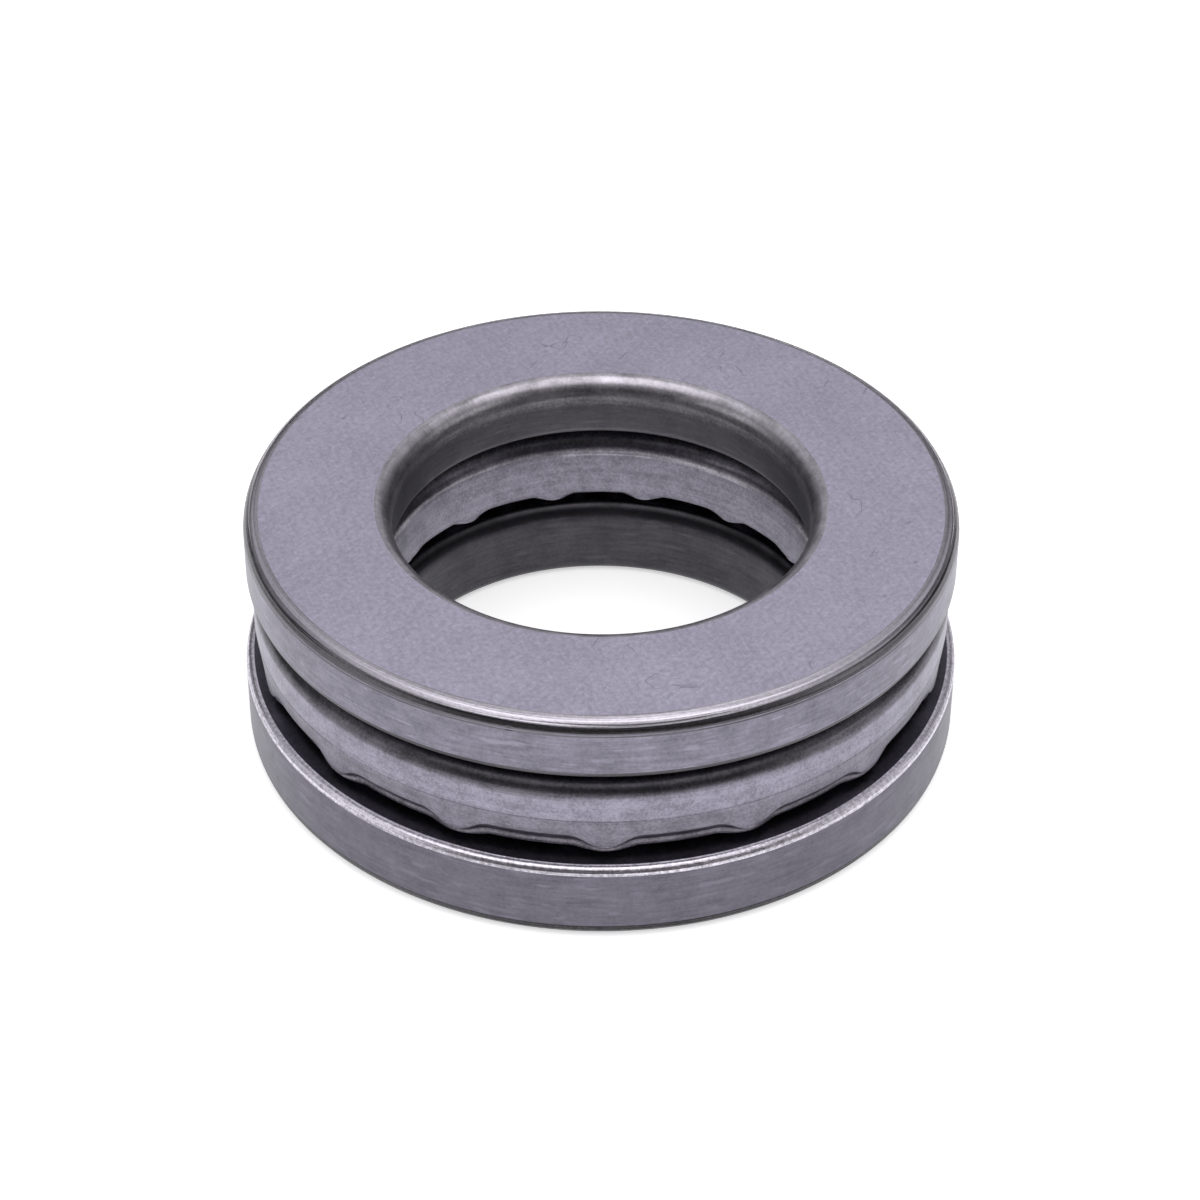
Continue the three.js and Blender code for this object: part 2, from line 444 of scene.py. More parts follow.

# %% [markdown]
# ## Ground faces
# The flat faces of both washers are finished on a surface grinder. The wheel leaves a very
# fine hatch of crossing scratches, and handling adds a few short hairlines and tiny pits.
# Two stretched noises at different angles make the hatch. They are kept shallow: the face
# should look like even satin, with the hatch just showing. The flat lands beside the
# raceway, inside the gap between the washers, are painted much darker as painted shade.

# %% Ground face finish
def ground_face_finish(name, grey):
    """Satin steel with a fine grain, a faint crossed hatch, hairlines and a few pits."""
    material, tree, shader, point = steel(name, grey, 0.36)
    first = grinding_marks(tree, point, angle=52.0, length=420.0, fineness=5200.0)
    second = grinding_marks(tree, point, angle=-71.0, length=380.0, fineness=4200.0)
    hatch = maths(tree, "ADD", first, second)
    grain = noise(tree, point, scale=2600.0, detail=4.0, roughness=0.75)
    cloud = noise(tree, point, scale=160.0, detail=4.0)
    straight = grinding_marks(tree, point, angle=64.0, length=260.0, fineness=2600.0, detail=1.0)
    pit = pits(tree, point, scale=420.0, size=0.085, share=0.16)
    marks = maths(tree, "MAXIMUM", band(tree, straight, 0.76, 0.80), pit)
    marks = maths(tree, "MAXIMUM", marks, hairs(tree, point))
    level = maths(tree, "MULTIPLY_ADD", cloud, 0.5, maths(tree, "MULTIPLY", grain, 1.6))
    level = band(tree, maths(tree, "MULTIPLY_ADD", hatch, 0.4, level), 1.20, 1.78)
    level = maths(tree, "SUBTRACT", level, maths(tree, "MULTIPLY", marks, 1.6))
    paint_grey(tree, shader, level, dark=grey * 0.80, light=grey * 1.16)
    uneven_gloss = band(tree, grain, 0.35, 0.65, 0.32, 0.42)
    tree.links.new(uneven_gloss, shader.inputs["Roughness"])
    raise_marks(tree, shader, [
        (grain, 0.000008, 0.4),
        (hatch, 0.000004, 0.3),
        (sunk(tree, marks), 0.00003, 0.5),
    ])
    return material


GROUND_FACE = ground_face_finish("ground_face", grey=0.70)
# The raceway-side lands get a much darker grey: painted shade in the gap between the washers.
SHADED_RACEWAY_FACE = ground_face_finish("shaded_raceway_face", grey=0.12)
print("ground finishes:", GROUND_FACE.name, "and", SHADED_RACEWAY_FACE.name)

# %% [markdown]
# ## Turned fillets
# The rounded edges aren't ground. They stay as the lathe tool left them before hardening,
# with fine rings round the axis, so they break the light into bright and dark lines. The
# colour has rings as well as the bump, because the valleys between the rings keep some of
# the dark film from hardening. A dark coat is painted by height on the lower part of a
# fillet. On the housing washer's bottom fillet it is painted contact shadow. On the shaft
# washer's top fillet it is partly a dark film and partly painted shade below the highlight.

# %% Turned fillet finish
def turned_finish(name, grey, contrast, fineness, roughness, sparkle, film_and_shade):
    """Rings of light and dark steel round the axis, with a broken, sparkling grain. A dark
    coat starts at one height and is full at another, in metres, and has a grey. It is
    painted shade, over a real dark layer on the shaft washer."""
    material, tree, shader, point = steel(name, grey, roughness)
    rings = turning_marks(tree, point, fineness)
    broad = turning_marks(tree, point, fineness * 0.45, drift=40.0)
    grain = noise(tree, point, scale=3600.0, detail=4.0, roughness=0.75)
    pit = pits(tree, point, scale=300.0, size=0.11, share=0.12)
    level = maths(tree, "MULTIPLY_ADD", grain, sparkle, rings)
    level = band(tree, maths(tree, "ADD", level, broad), 0.8 + sparkle / 2, 1.2 + sparkle / 2)
    level = maths(tree, "SUBTRACT", level, pit)
    film_and_shade_from, film_and_shade_full, film_and_shade_grey = film_and_shade
    height = ragged(tree, radius_and_height(tree, point)[1], rings, 0.0005)
    # The dark coat below a height: painted shade, partly a real dark layer on the shaft washer.
    film_and_shade_amount = band(tree, height, film_and_shade_from, film_and_shade_full, 0.0, 0.95)
    lights = (grey * (1 - contrast), grey * (1 + contrast))
    paint_grey(tree, shader, level, *lights, warmth=0.7, coats=[(film_and_shade_amount, film_and_shade_grey)])
    raise_marks(tree, shader, [
        (rings, 0.00003, 0.7),
        (grain, 0.00003 * (1 + sparkle), 0.6),
        (sunk(tree, pit), 0.00006, 0.6),
    ])
    return material


# The dark coat on the lower part of the top fillet is partly a dark film and partly painted shade
# below the highlight.
SHAFT_FILLET = turned_finish(
    "turned_fillet", grey=0.47, contrast=0.35, fineness=5200.0, roughness=0.30,
    sparkle=0.5, film_and_shade=(0.01820, 0.01812, 0.085))
# The dark coat on the bottom fillet is painted contact shadow.
HOUSING_FILLET = turned_finish(
    "rough_fillet", grey=0.62, contrast=0.50, fineness=4600.0, roughness=0.34,
    sparkle=1.1, film_and_shade=(0.00125, 0.00108, 0.02))
print("turned finishes:", SHAFT_FILLET.name, "and", HOUSING_FILLET.name)

# %% [markdown]
# ## Ground rims and bores
# The cylindrical walls are ground with the washer turning, so their scratches run round
# them as short horizontal streaks over a mottled satin. The walls are painted much darker
# than the flat faces, as painted shade on the sides, and the housing washer's rim darker
# still. The bores are made in the same way and painted darker again, as painted shade
# inside the hole. The shaft washer's rounded lead-in is painted lighter again where it
# catches the softbox. The housing washer's lead-in at the raceway is painted darker, as
# painted shade under the cage.

# %% Rim and bore finish
def rim_finish(name, grey, roughness, contrast, relief=1.0, warmth=0.0, lead_in=None):
    """Mottled satin steel with short streaks that run round the ring. A lead-in gives the
    heights where the colour starts to change and is changed, in metres, and its grey."""
    material, tree, shader, point = steel(name, grey, roughness)
    streaks = turning_marks(tree, point, fineness=4200.0, drift=330.0, detail=3.0)
    mottle = noise(tree, point, scale=520.0, detail=5.0, roughness=0.7)
    grain = noise(tree, point, scale=4200.0, detail=3.0, roughness=0.7)
    rubs = turning_marks(tree, point, fineness=2300.0, drift=420.0, detail=1.0)
    pit = pits(tree, point, scale=170.0, size=0.05, share=0.25)
    level = maths(tree, "MULTIPLY_ADD", mottle, 1.2, streaks)
    level = band(tree, maths(tree, "MULTIPLY_ADD", grain, 0.8, level), 1.1, 1.9)
    level = maths(tree, "MULTIPLY_ADD", band(tree, rubs, 0.64, 0.74), 0.6, level)
    level = maths(tree, "MULTIPLY_ADD", pit, -2.0, level)
    coats = []
    if lead_in:
        # On a bore the lead-in coat changes the painted shade at the lead-in.
        lead_in_from, lead_in_full, lead_in_grey = lead_in
        height = ragged(tree, radius_and_height(tree, point)[1], grain, 0.0008)
        coats = [(band(tree, height, lead_in_from, lead_in_full), lead_in_grey)]
    paint_grey(tree, shader, level, grey * (1 - contrast), grey * (1 + contrast), warmth, coats)
    raise_marks(tree, shader, [
        (streaks, 0.000006 * relief, 0.3),
        (grain, 0.000008 * relief, 0.4),
        (sunk(tree, pit), 0.00005, 0.6),
    ])
    return material


# The rims are painted much darker than the flat faces, as painted shade on the sides. The housing
# washer's rim, nearer the floor, is darker still.
SHADED_SHAFT_RIM = rim_finish("shaded_ground_rim", grey=0.222, roughness=0.38, contrast=0.34)
SHADED_HOUSING_RIM = rim_finish("shaded_housing_rim", grey=0.162, roughness=0.40, contrast=0.26)
# The bores are painted darker still, as painted shade inside the hole. The shaft washer's lead-in
# is painted lighter again where it catches the softbox. The housing washer's lead-in at the
# raceway is painted darker, as painted shade under the cage.
SHADED_SHAFT_BORE = rim_finish(
    "shaded_shaft_bore", grey=0.115, roughness=0.42, contrast=0.25, relief=2.5, warmth=0.5,
    lead_in=(0.01630, 0.01800, 0.46))
SHADED_HOUSING_BORE = rim_finish(
    "shaded_housing_bore", grey=0.070, roughness=0.36, contrast=0.30, relief=3.0, warmth=0.5,
    lead_in=(0.00530, 0.00600, 0.045))
print("wall finishes:", SHADED_SHAFT_RIM.name, SHADED_HOUSING_RIM.name, SHADED_SHAFT_BORE.name, SHADED_HOUSING_BORE.name)

# %% [markdown]
# ## Raceways and balls
# A raceway is ground and honed until it is nearly a mirror, with only the finest rings left.
# The balls are lapped, so they are the brightest steel here, with hardly a mark on them.

# %% Raceway and ball finishes
def raceway_finish():
    """Honed steel with very fine rings."""
    material, tree, shader, point = steel("honed_raceway", 0.55, 0.14)
    rings = turning_marks(tree, point, fineness=16000.0, drift=30.0)
    paint_grey(tree, shader, rings, dark=0.48, light=0.62)
    raise_marks(tree, shader, [(rings, 0.000003, 0.3)])
    return material


def ball_finish():
    """Lapped chrome steel, almost a mirror."""
    material, tree, shader, point = steel("lapped_ball", 0.66, 0.07)
    haze = noise(tree, point, scale=400.0, detail=2.0)
    scratch = grinding_marks(tree, point, angle=18.0, length=300.0, fineness=9000.0)
    paint_grey(tree, shader, haze, dark=0.62, light=0.70)
    raise_marks(tree, shader, [(scratch, 0.000001, 0.2)])
    return material


RACEWAY = raceway_finish()
LAPPED = ball_finish()
print("mirror finishes:", RACEWAY.name, "and", LAPPED.name)

# %% [markdown]
# ## The cage's sheet
# The cage is cold-rolled sheet that was pressed and then tumbled, which gives a soft, even
# grain. Its shoulders and the inside of the bore flange are painted darker, as painted shade
# under the shaft washer, and the foot of the outer flange is darker below the scribed line.
# A painted highlight runs round the bore's shoulder. The lower land of the outer flange is
# painted bright, partly a bright sheared edge and partly a painted highlight.

# %% Cage finish
# Heights in metres. A pair says where a coat starts and where it is full.
# Painted shade on the shoulders, under the shaft washer. On the bore side it starts a little
# lower.
SHOULDER_SHADE = (0.01160, 0.01210)
BORE_SHOULDER_RISE = 0.00015
FOOT_DARK = (0.00985, 0.00975)
# A painted highlight round the bore's shoulder, at this height.
BORE_HIGHLIGHT_HEIGHT = 0.01150
# The painted highlight fades by the distance from its own height.
BORE_HIGHLIGHT_FADE = (0.00040, 0.00010)
# The lower land of the outer flange is painted bright: partly a bright cut edge, partly a painted
# highlight.
SHEARED_EDGE_AND_HIGHLIGHT = (0.00745, 0.00730)
SHADE_AND_FOOT_GREY, BRIGHT_GREY = 0.07, 0.60


def cage_finish():
    """Tumbled sheet steel: a fine grain, soft drawing lines and a few dark specks. Painted
    shade darkens the shoulders and the bore side, and the foot is darker below the scribed
    line. A painted highlight runs round the bore's shoulder, and the lower land is bright,
    partly a bright cut edge and partly a painted highlight."""
    material, tree, shader, point = steel("tumbled_sheet", 0.36, 0.36)
    grain = noise(tree, point, scale=4600.0, detail=4.0, roughness=0.75)
    mottle = noise(tree, point, scale=700.0, detail=4.0, roughness=0.6)
    lines = turning_marks(tree, point, fineness=2600.0, drift=90.0)
    speck = pits(tree, point, scale=900.0, size=0.10, share=0.12)
    radius, height = radius_and_height(tree, point)
    inside = maths(tree, "LESS_THAN", radius, PITCH_RADIUS / METRES_TO_MM)
    outside = maths(tree, "SUBTRACT", 1.0, inside)
    uneven = ragged(tree, height, lines, 0.0012)
    lowered = maths(tree, "MULTIPLY_ADD", inside, -BORE_SHOULDER_RISE, uneven)
    shoulder = band(tree, lowered, *SHOULDER_SHADE, 0.0, 0.82)
    foot = maths(tree, "MULTIPLY", outside, band(tree, height, *FOOT_DARK, 0.0, 0.35))
    # The dark coat is painted shade on the shoulders and over the whole bore side, and darker
    # steel below the scribed line on the outside.
    shade_and_foot = maths(tree, "ADD", maths(tree, "ADD", shoulder, foot),
                  maths(tree, "MULTIPLY", inside, 0.15))
    # A painted highlight round the bore's shoulder.
    from_bore_highlight = maths(tree, "ABSOLUTE", maths(tree, "SUBTRACT", uneven, BORE_HIGHLIGHT_HEIGHT))
    bore_highlight = maths(tree, "MULTIPLY", inside, band(tree, from_bore_highlight, *BORE_HIGHLIGHT_FADE, 0.0, 0.8))
    # Bright lower land: partly a cut edge, partly a painted highlight.
    sheared_and_highlit = maths(tree, "MULTIPLY", outside, band(tree, height, *SHEARED_EDGE_AND_HIGHLIGHT, 0.0, 0.5))
    level = maths(tree, "MULTIPLY_ADD", grain, 1.6, mottle)
    level = band(tree, maths(tree, "MULTIPLY_ADD", lines, 0.6, level), 1.32, 1.85)
    level = maths(tree, "SUBTRACT", level, maths(tree, "MULTIPLY", speck, 0.5))
    coats = [(shade_and_foot, SHADE_AND_FOOT_GREY), (maths(tree, "ADD", bore_highlight, sheared_and_highlit), BRIGHT_GREY)]
    paint_grey(tree, shader, level, dark=0.205, light=0.36, coats=coats)
    raise_marks(tree, shader, [(grain, 0.000018, 0.45), (lines, 0.000008, 0.3)])
    return material


SHEET = cage_finish()
print("materials:", sorted(material.name for material in bpy.data.materials))

# %% [markdown]
# ## Turning a ring
# A washer is turned on a lathe, and it is made the same way here: the outline of its
# section is drawn on one side of the axis and spun once round. The outline starts as a
# polygon of a few corners. Bevelling its corner vertices rounds the edges exactly as a
# radius tool would, and the groove is an arc that one vertex draws as it is spun about the
# groove's centre. Only one ball's share of the ring is spun. It is then copied round the
# axis, which is much quicker than one long spin.

# %% Outline helpers
UP = Vector((0, 0, 1))
ACROSS = Vector((0, 1, 0))
ROUND_SEGMENTS = 18
SAME_POINT = 1e-3
ON_PLANE = 1e-5
ON_WALL = 0.01


def corner(bm, radius, height):
    """A vertex of the outline, in the plane where Y is 0."""
    return bm.verts.new((radius, 0, height))


def draw_arc(bm, start, centre, angle, steps):
    """Spins one vertex about a centre in the outline's plane, and returns where it ends."""
    spun = bmesh.ops.spin(bm, geom=[start], cent=centre, axis=ACROSS, angle=angle, steps=steps)
    return [item for item in spun["geom_last"] if isinstance(item, bmesh.types.BMVert)][0]


def close_outline(bm, chain):
    """Joins the vertices of a chain in turn, and fills the outline with one face."""
    for first, second in zip(chain, chain[1:]):
        bm.edges.new((first, second))
    bmesh.ops.contextual_create(bm, geom=bm.edges[:])


def round_corner(bm, vertex, radius, segments=ROUND_SEGMENTS):
    """Rounds one corner of the outline, and returns the vertices of its arc."""
    made = bmesh.ops.bevel(
        bm, geom=[vertex], offset=radius, offset_type="OFFSET", segments=segments,
        profile=0.5, affect="VERTICES", material=-1,
    )
    return made["verts"]


def open_outline(bm):
    """Takes away the face that held the outline together, and leaves its edges."""
    bmesh.ops.delete(bm, geom=bm.faces[:], context="FACES_ONLY")


def cut_at_height(bm, height, radii=()):
    """Puts a vertex wherever the outline crosses a height, or only at the radii given."""
    chosen = [edge for edge in bm.edges if not radii or all(
        min(abs(end.co.x - radius) for radius in radii) < ON_WALL for end in edge.verts)]
    bmesh.ops.bisect_plane(
        bm, geom=bm.verts[:] + chosen, dist=ON_PLANE, plane_co=(0, 0, height), plane_no=UP)


print("a fillet is rounded in", ROUND_SEGMENTS, "segments")

# %% Spin and finish helpers
def spin_outline(bm, steps, sectors):
    """Spins the outline's edges through one sector, and repeats the sector round the axis.
    The seams are merged."""
    sector = 2 * math.pi / sectors
    bmesh.ops.spin(
        bm, geom=bm.verts[:] + bm.edges[:], cent=(0, 0, 0), axis=UP,
        angle=sector, steps=steps // sectors,
    )
    first = bm.verts[:] + bm.edges[:] + bm.faces[:]
    for number in range(1, sectors):
        copied = bmesh.ops.duplicate(bm, geom=first)["geom"]
        points = [item for item in copied if isinstance(item, bmesh.types.BMVert)]
        turn = Matrix.Rotation(number * sector, 3, "Z")
        bmesh.ops.rotate(bm, cent=(0, 0, 0), matrix=turn, verts=points)
    bmesh.ops.remove_doubles(bm, verts=bm.verts[:], dist=SAME_POINT)
    bmesh.ops.recalc_face_normals(bm, faces=bm.faces[:])


def finish_mesh(bm, name, materials):
    """Scales a piece from millimetres to metres and makes it an object at the origin."""
    bmesh.ops.scale(bm, vec=(1 / METRES_TO_MM,) * 3, verts=bm.verts[:])
    mesh = bpy.data.meshes.new(name)
    bm.to_mesh(mesh)
    bm.free()
    for material in materials:
        mesh.materials.append(material)
    piece = bpy.data.objects.new(name, mesh)
    bpy.context.scene.collection.objects.link(piece)
    mesh.calc_loop_triangles()
    print(f"{name}: {len(mesh.loop_triangles)} triangles")
    return piece

# %% [markdown]
# ## The two washers
# The housing washer lies groove up, and the shaft washer groove down. Both have large
# fillets on the face that meets the machine, so that they clear the corner of the housing
# or the shaft, and small ones at the raceway. The lead-in of each bore is longer than it is
# wide, so a rounded corner is stretched along the axis. The fillets get real turning ridges:
# their points are pushed in by a few hundredths of a millimetre in a wave before the spin.
# Loops just inside each wall keep the shading of the flat walls flat.

# %% Ridged fillets
OUTSIDE_RIDGE = 0.026
BORE_RIDGE = 0.006
POINTS_PER_RIDGE = 4.4
RIDGE_UNEVEN = 0.3
ARC_END = 0.999


def ridge_arc(arc, centre, depth, seed):
    """Pushes the points of a fillet in by a wave, as the feed of a lathe tool does."""
    dice = random.Random(seed)
    phase = 2 * math.pi * dice.random()
    for number, vertex in enumerate(sorted(arc, key=lambda v: v.co.z)):
        away = (vertex.co - centre).normalized()
        wave = (math.sin(number * 2 * math.pi / POINTS_PER_RIDGE + phase) - 1) / 2
        vertex.co += away * depth * wave * (1 - RIDGE_UNEVEN + RIDGE_UNEVEN * dice.random())


def fillet_corner(bm, vertex, fillet, middle_height, ridge_depth, seed):
    """Rounds a corner by a fillet of (width, length along the axis), and ridges it. The
    ends of the arc stay where they are."""
    width, length = fillet
    face_z = vertex.co.z
    inwards = Vector((-1 if vertex.co.x > PITCH_RADIUS else 1, 0, 1))
    inwards.z = 1 if face_z < middle_height else -1
    centre = vertex.co + width * inwards
    arc = round_corner(bm, vertex, width)
    inner_points = []
    for point in arc:
        away = (point.co - centre).normalized()
        if max(abs(away.x), abs(away.z)) < ARC_END:
            inner_points.append(point)
    ridge_arc(inner_points, centre, ridge_depth, seed)
    for point in arc:
        point.co.z = face_z + (point.co.z - face_z) * length / width


print("ridges up to", OUTSIDE_RIDGE, "mm deep outside and", BORE_RIDGE, "mm in the bore")

# %% Washer outline
GROOVE_STEPS = 24
LIP_SEGMENTS = 3
SUPPORT_GAP = 0.06
GROOVE_HALF_WIDTH = math.sqrt(GROOVE_RADIUS ** 2 - (GROOVE_RADIUS - GROOVE_DEPTH) ** 2)


def washer_outline(bm, inner, outer, bottom, top, groove_up, fillets, seed):
    """Draws the section of a washer and rounds its corners. The fillets are those of the
    raceway's outside, the back's outside, the back's bore and the raceway's bore."""
    race_z, back_z = (top, bottom) if groove_up else (bottom, top)
    out = 1 if groove_up else -1
    centre = Vector((PITCH_RADIUS, 0, race_z + out * (GROOVE_RADIUS - GROOVE_DEPTH)))
    start = corner(bm, PITCH_RADIUS - GROOVE_HALF_WIDTH, race_z)
    opening = 2 * math.asin(GROOVE_HALF_WIDTH / GROOVE_RADIUS)
    end = draw_arc(bm, start, centre, -out * opening, GROOVE_STEPS)
    corners = [corner(bm, outer, race_z), corner(bm, outer, back_z)]
    corners += [corner(bm, inner, back_z), corner(bm, inner, race_z)]
    close_outline(bm, [end] + corners + [start])
    for number, (vertex, fillet) in enumerate(zip(corners, fillets)):
        ridge = OUTSIDE_RIDGE if number < 2 else BORE_RIDGE
        fillet_corner(bm, vertex, fillet, (bottom + top) / 2, ridge, seed + number)
    for lip in (start, end):
        round_corner(bm, lip, GROOVE_LIP, LIP_SEGMENTS)
    open_outline(bm)
    race_outside, back_outside, back_bore, race_bore = (length for _, length in fillets)
    cut_at_height(bm, race_z - out * (max(race_outside, race_bore) + SUPPORT_GAP))
    cut_at_height(bm, back_z + out * (max(back_outside, back_bore) + SUPPORT_GAP))


print(f"the groove is {2 * GROOVE_HALF_WIDTH:.2f} mm wide")

# %% Finish of each region
FLAT_NORMAL = 0.9999
WALL_NORMAL = 0.02
FINISHES = ["face", "shaded_raceway_face", "fillet", "rim", "bore", "raceway"]


def sort_finishes(bm, face_z, race_z):
    """Gives each face of a washer the finish of its region, and keeps flat faces flat."""
    for face in bm.faces:
        middle = face.calc_center_median()
        radius = math.hypot(middle.x, middle.y)
        tall = abs(face.normal.z)
        near_groove = abs(radius - PITCH_RADIUS) < GROOVE_HALF_WIDTH + GROOVE_LIP
        face.smooth = tall < FLAT_NORMAL
        if near_groove and abs(middle.z - race_z) < 2 * GROOVE_DEPTH:
            region = "raceway"
        elif tall > FLAT_NORMAL:
            region = "face" if abs(middle.z - face_z) < GROOVE_LIP else "shaded_raceway_face"
        elif radius < PITCH_RADIUS:
            region = "bore"
        else:
            region = "rim" if tall < WALL_NORMAL else "fillet"
        face.material_index = FINISHES.index(region)


print("regions of a washer:", FINISHES)

# %% Housing washer
HOUSING_SEED = 11
housing_bm = bmesh.new()
washer_outline(
    housing_bm, HOUSING_BORE_RADIUS, HOUSING_RADIUS, housing_low.z, LOWER_RACEWAY, True,
    [RACEWAY_FILLET, OUTER_FILLET, BORE_FILLET, HOUSING_LEAD_IN], HOUSING_SEED)
spin_outline(housing_bm, RING_STEPS, len(BALL_NAMES))
sort_finishes(housing_bm, housing_low.z, LOWER_RACEWAY)
housing_ring = finish_mesh(housing_bm, "housing_ring", [
    GROUND_FACE, SHADED_RACEWAY_FACE, HOUSING_FILLET, SHADED_HOUSING_RIM, SHADED_HOUSING_BORE, RACEWAY])
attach(housing_ring, "housing_washer")
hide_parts("housing_washer")

# %% Shaft washer
SHAFT_SEED = 23
shaft_bm = bmesh.new()
washer_outline(
    shaft_bm, SHAFT_BORE_RADIUS, SHAFT_WASHER_RADIUS, UPPER_RACEWAY, BEARING_TOP, False,
    [RACEWAY_FILLET, OUTER_FILLET, SHAFT_LEAD_IN, RACEWAY_FILLET], SHAFT_SEED)
spin_outline(shaft_bm, RING_STEPS, len(BALL_NAMES))
sort_finishes(shaft_bm, BEARING_TOP, UPPER_RACEWAY)
shaft_ring = finish_mesh(shaft_bm, "shaft_ring", [
    GROUND_FACE, SHADED_RACEWAY_FACE, SHAFT_FILLET, SHADED_SHAFT_RIM, SHADED_SHAFT_BORE, RACEWAY])
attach(shaft_ring, "shaft_washer")
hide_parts("shaft_washer")

# %% [markdown]
# ## The cage
# The cage starts as a flat ring of sheet. A press draws its inner and outer edges down over
# the balls, punches a window above each ball, and then crimps the two edges towards each
# other between the balls, so that they can't fall out. The crimp leaves a low tab at each
# ball, and a scribed line shows how far the crimping die reached. The folded sheet is spun
# as a closed section, and then each point is moved by its height and by how far it is from
# the nearest ball. The tabs are a little uneven, as pressed ones are.

# %% Cage sizes
SHEET_THICKNESS = 0.55
OUTER_SHOULDER = 1.4
INNER_SHOULDER = 1.9
SHEET_EDGE_ROUND = 0.14
CAGE_STEPS = 40 * len(BALL_NAMES)
CAGE_EDGE = cage_low.z
CAGE_TOP = cage_high.z
CRIMP_LAND = 0.6
CRIMP_DROP = 1.575
FOLD_LOW = CAGE_EDGE + CRIMP_LAND
FOLD_HIGH = BALL_CENTRE - CRIMP_DROP
TAPER_HIGH = 9.75
TAPER_DEPTH = 0.2
CRIMP_DEPTH = 0.75
TAB_DEPTH = 0.3
TAB_HALF_ANGLE = math.radians(6.0)
TAB_FOLD_DROP = 1.12
TAB_LAND_DROP = 0.38
BORE_FOLD_HIGH = FOLD_HIGH - 0.75
BORE_FOLD_LOW = FOLD_LOW - 0.12
BORE_TAB_DROP = 0.30
EDGE_DROP = 0.15
BORE_EDGE_DROP = 0.18
SCRIBE_HEIGHT = 9.82
SCRIBE_WIDTH = 0.045
SCRIBE_DEPTH = 0.04
SCRIBE_SIDES = (-1.6, -0.8, 0, 0.8, 1.6)
NOTCH_ANGLE = math.radians(4.2)
NOTCH_LENGTH = math.radians(0.9)
NOTCH_RISE = 0.09
LAND_ROW = FOLD_LOW - 0.25
FOLD_ROWS = [7.55, 7.7, 7.85, 8.0, 8.15, 8.28]
TAPER_ROWS = [8.6, 9.1, 9.5, 10.1]
print(f"cage from {CAGE_EDGE:.2f} to {CAGE_TOP:.2f} mm, fold at {FOLD_HIGH:.2f} mm")

# %% Cage outline
cage_bm = bmesh.new()
outer_face, outer_back = CAGE_RADIUS, CAGE_RADIUS - SHEET_THICKNESS
inner_face, inner_back = CAGE_BORE_RADIUS, CAGE_BORE_RADIUS + SHEET_THICKNESS
web_under = CAGE_TOP - SHEET_THICKNESS
sheet_corners = [
    (outer_face, CAGE_EDGE, SHEET_EDGE_ROUND, 2), (outer_face, CAGE_TOP, OUTER_SHOULDER, 10),
    (inner_face, CAGE_TOP, INNER_SHOULDER, 12), (inner_face, CAGE_EDGE, SHEET_EDGE_ROUND, 2),
    (inner_back, CAGE_EDGE, SHEET_EDGE_ROUND, 2),
    (inner_back, web_under, INNER_SHOULDER - SHEET_THICKNESS, 5),
    (outer_back, web_under, OUTER_SHOULDER - SHEET_THICKNESS, 4),
    (outer_back, CAGE_EDGE, SHEET_EDGE_ROUND, 2),
]
chain = [corner(cage_bm, radius, height) for radius, height, _, _ in sheet_corners]
close_outline(cage_bm, chain + chain[:1])
for vertex, (_, _, bend, segments) in zip(chain, sheet_corners):
    round_corner(cage_bm, vertex, bend, segments)
open_outline(cage_bm)
for row in [LAND_ROW, FOLD_LOW, *FOLD_ROWS, FOLD_HIGH, *TAPER_ROWS]:
    cut_at_height(cage_bm, row)
for side in SCRIBE_SIDES:
    cut_at_height(cage_bm, SCRIBE_HEIGHT + SCRIBE_WIDTH * side, (outer_face,))
spin_outline(cage_bm, CAGE_STEPS, len(BALL_NAMES))
print("cage points before pressing:", len(cage_bm.verts))

# %% Uneven tabs
CAGE_SEED = 5
WANDER_MM = 0.05
SHIFT_DEGREES = 0.35
cage_dice = random.Random(CAGE_SEED)
FOLD_WANDER = [cage_dice.uniform(-WANDER_MM, WANDER_MM) for _ in BALL_NAMES]
TAB_SHIFT = [math.radians(cage_dice.uniform(-SHIFT_DEGREES, SHIFT_DEGREES)) for _ in BALL_NAMES]
print(f"the fold at a tab wanders by up to {max(map(abs, FOLD_WANDER)):.3f} mm")

# %% Press helpers
FOLD_TURN = 0.22
TAB_TURN = 0.45
TAPER_TURN = 0.1


def ease(share, turn=FOLD_TURN):
    """A straight ramp from 0 to 1 with both of its ends rounded off. Turn is the share of
    the ramp that each rounding takes."""
    share = min(1.0, max(0.0, share))
    if share > 0.5:
        return 1.0 - ease(1.0 - share, turn)
    slope = 1.0 / (1.0 - turn)
    if share < turn:
        return slope * share * share / (2 * turn)
    return slope * (share - turn / 2)


def stretched(value, stops):
    """Carries a height from one set of stops to another: stops are (from, to)."""
    for (low, new_low), (high, new_high) in zip(stops, stops[1:]):
        if value <= high:
            share = (value - low) / (high - low)
            return new_low + share * (new_high - new_low)
    return value


print("half way up the ramp:", ease(0.5))

# %% Press the flanges
WAVE_MM = 0.04
WAVES_ROUND = 3
WAVE_START = 1.0


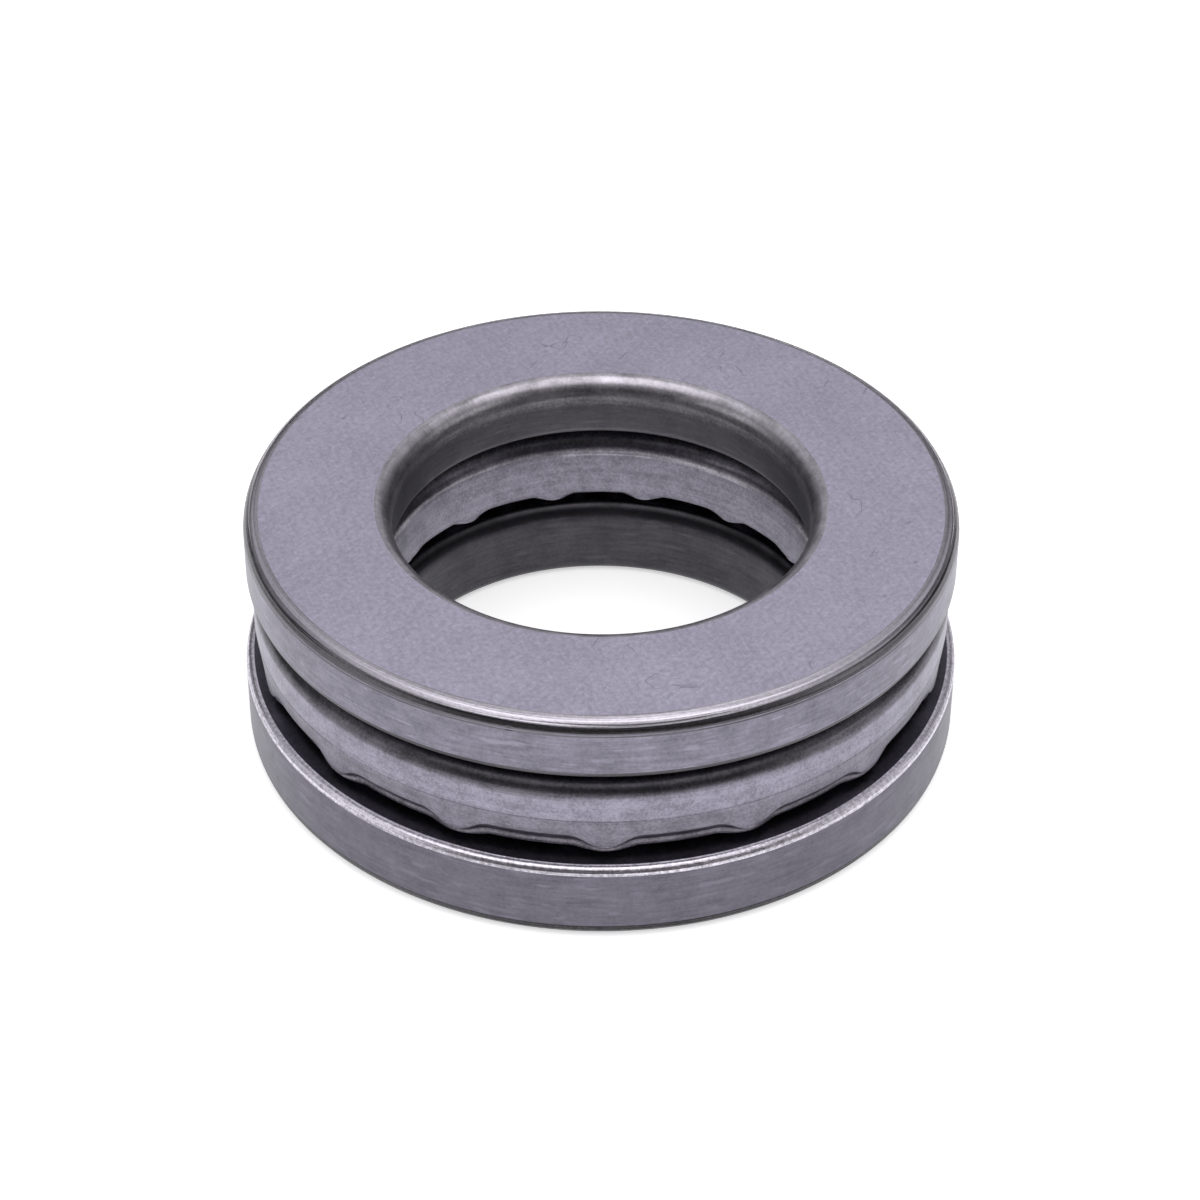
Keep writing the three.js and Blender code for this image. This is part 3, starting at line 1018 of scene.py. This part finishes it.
def press_point(radius, height, azimuth):
    """Where a point of the straight flange goes when the press crimps it."""
    turn = (azimuth + math.pi / 2) / BALL_STEP
    number = round(turn)
    away = abs((turn - number) * BALL_STEP - TAB_SHIFT[number % len(BALL_NAMES)])
    tab = 1.0 - ease(away / TAB_HALF_ANGLE, TAB_TURN)
    wave = WAVE_MM * math.sin(WAVES_ROUND * azimuth + WAVE_START)
    wander = FOLD_WANDER[number % len(BALL_NAMES)] * tab + wave
    taper = ease((TAPER_HIGH - height) / (TAPER_HIGH - FOLD_HIGH), TAPER_TURN)
    fold = ease((FOLD_HIGH - height) / (FOLD_HIGH - FOLD_LOW))
    lean = TAPER_DEPTH * taper + (CRIMP_DEPTH + (TAB_DEPTH - CRIMP_DEPTH) * tab) * fold
    notch = NOTCH_RISE * ease((away - NOTCH_ANGLE) / NOTCH_LENGTH)
    if radius > PITCH_RADIUS:
        edge = CAGE_EDGE - EDGE_DROP + notch
        fold_low = FOLD_LOW - EDGE_DROP / 2 - TAB_LAND_DROP * tab + wander / 2
        fold_high = FOLD_HIGH - TAB_FOLD_DROP * tab + wander
    else:
        edge = CAGE_EDGE - BORE_EDGE_DROP + notch + BORE_TAB_DROP * (1 - tab) / 3
        fold_low = BORE_FOLD_LOW - BORE_EDGE_DROP / 2 - TAB_LAND_DROP * tab / 2
        fold_high = BORE_FOLD_HIGH - BORE_EDGE_DROP / 2 - BORE_TAB_DROP * tab + wander / 2
    stops = [(CAGE_EDGE, edge), (FOLD_LOW, fold_low), (FOLD_HIGH, fold_high),
             (TAPER_HIGH, TAPER_HIGH)]
    new_height = stretched(height, stops)
    scribe = SCRIBE_DEPTH * max(0.0, 1.0 - abs(height - SCRIBE_HEIGHT) / SCRIBE_WIDTH)
    if radius > PITCH_RADIUS:
        on_face = radius > CAGE_RADIUS - ON_WALL
        return radius - lean - (scribe if on_face else 0.0), new_height
    return radius + lean, new_height


for vertex in cage_bm.verts:
    radius = math.hypot(vertex.co.x, vertex.co.y)
    azimuth = math.atan2(vertex.co.y, vertex.co.x)
    new_radius, new_height = press_point(radius, vertex.co.z, azimuth)
    vertex.co = (new_radius * math.cos(azimuth), new_radius * math.sin(azimuth), new_height)
for face in cage_bm.faces:
    face.smooth = abs(face.normal.z) < FLAT_NORMAL
cage_sheet = finish_mesh(cage_bm, "cage_sheet", [SHEET])

# %% [markdown]
# ## Punching the windows
# A punch takes a round hole out of the web above each ball, a little wider than the part of
# the ball that shows there. The punches are short cylinders that cross the web, and one
# Boolean modifier takes them all away at once. It is applied, so that the finished cage is
# plain mesh.

# %% Punches
WINDOW_CLEARANCE = 0.2
ball_at_web = math.sqrt(BALL_RADIUS ** 2 - (web_under - BALL_CENTRE) ** 2)
WINDOW_RADIUS = ball_at_web + WINDOW_CLEARANCE
PUNCH_LENGTH = 4 * SHEET_THICKNESS
PUNCH_SEGMENTS = 72
punch_bm = bmesh.new()
for number in range(len(BALL_NAMES)):
    azimuth = -math.pi / 2 + number * BALL_STEP
    place = Vector((math.cos(azimuth), math.sin(azimuth), 0)) * PITCH_RADIUS + CAGE_TOP * UP
    bmesh.ops.create_cone(
        punch_bm, cap_ends=True, segments=PUNCH_SEGMENTS, radius1=WINDOW_RADIUS,
        radius2=WINDOW_RADIUS, depth=PUNCH_LENGTH, matrix=Matrix.Translation(place),
    )
punches = finish_mesh(punch_bm, "punches", [])

# %% Cut and finish the cage
punching = cage_sheet.modifiers.new("windows", "BOOLEAN")
punching.operation = "DIFFERENCE"
punching.solver = "EXACT"
punching.object = punches
bpy.context.view_layer.update()
depsgraph = bpy.context.evaluated_depsgraph_get()
punched = bpy.data.meshes.new_from_object(cage_sheet.evaluated_get(depsgraph))
cage_sheet.modifiers.clear()
cage_sheet.data = punched
bpy.data.objects.remove(punches)
punched.calc_loop_triangles()
print("cage after punching:", len(punched.loop_triangles), "triangles")
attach(cage_sheet, "cage")
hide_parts("cage")

# %% [markdown]
# ## The balls
# Bearing balls are headed from wire, ground between plates and lapped until they are round
# to a fraction of a micrometre. An icosphere has even triangles all over and no poles, so
# it is the fairest stand for a surface that has no direction. Each ball is its own piece,
# because each one rolls by itself.

# %% Balls
BALL_DIVISIONS = 5
for ball_name in BALL_NAMES:
    low, high = box_mm(ball_name)
    ball_bm = bmesh.new()
    bmesh.ops.create_icosphere(
        ball_bm, subdivisions=BALL_DIVISIONS, radius=BALL_RADIUS,
        matrix=Matrix.Translation((low + high) / 2),
    )
    for face in ball_bm.faces:
        face.smooth = True
    ball = finish_mesh(ball_bm, "lapped_" + ball_name, [LAPPED])
    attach(ball, ball_name)
    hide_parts(ball_name)
